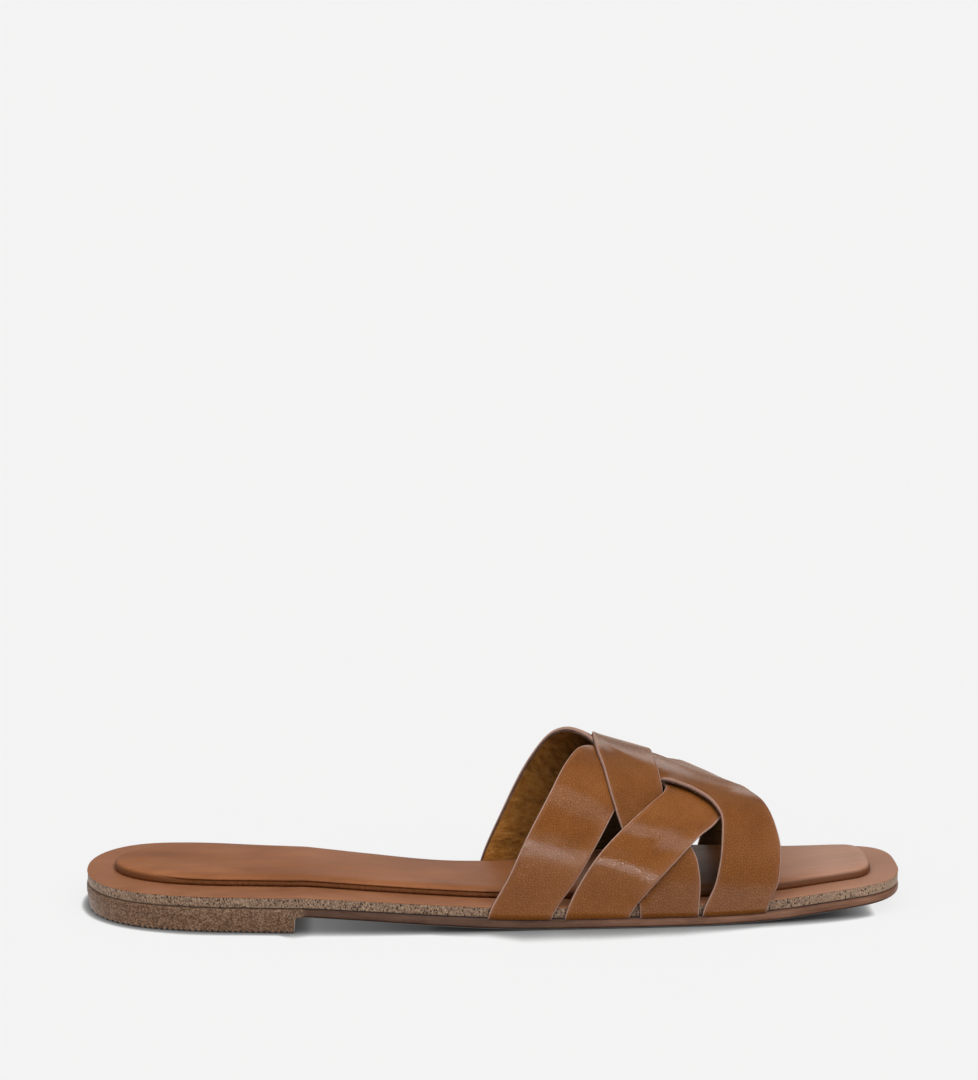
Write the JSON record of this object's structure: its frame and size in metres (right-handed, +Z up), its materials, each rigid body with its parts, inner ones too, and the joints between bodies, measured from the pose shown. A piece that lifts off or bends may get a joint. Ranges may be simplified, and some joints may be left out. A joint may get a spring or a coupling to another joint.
{
  "type": "strappy slide sandal",
  "caption": "Flat slide sandal for the right foot: woven crossing leather straps over a padded footbed on a layered sole with a low heel, open at toe and heel.",
  "frame": {"origin": "middle of the bounding box at floor level", "axes": "+X along the sole to the toe, +Y to the inner side of the foot, +Z up; the plane z = 0 is the floor"},
  "size_m": [0.2538, 0.081, 0.0515],
  "materials": {
    "heel": "matt, speckled brown",
    "outsole": "matt dark brown edge",
    "midsole": "matt, speckled side and plain tan rim",
    "insole": "satin tan",
    "upper": "satin tan, fine grain"
  },
  "bodies": {
    "root": {"heel": "heel", "outsole": "outsole", "midsole": "midsole", "insole": "insole", "upper": "upper"}
  },
  "joints": []
}
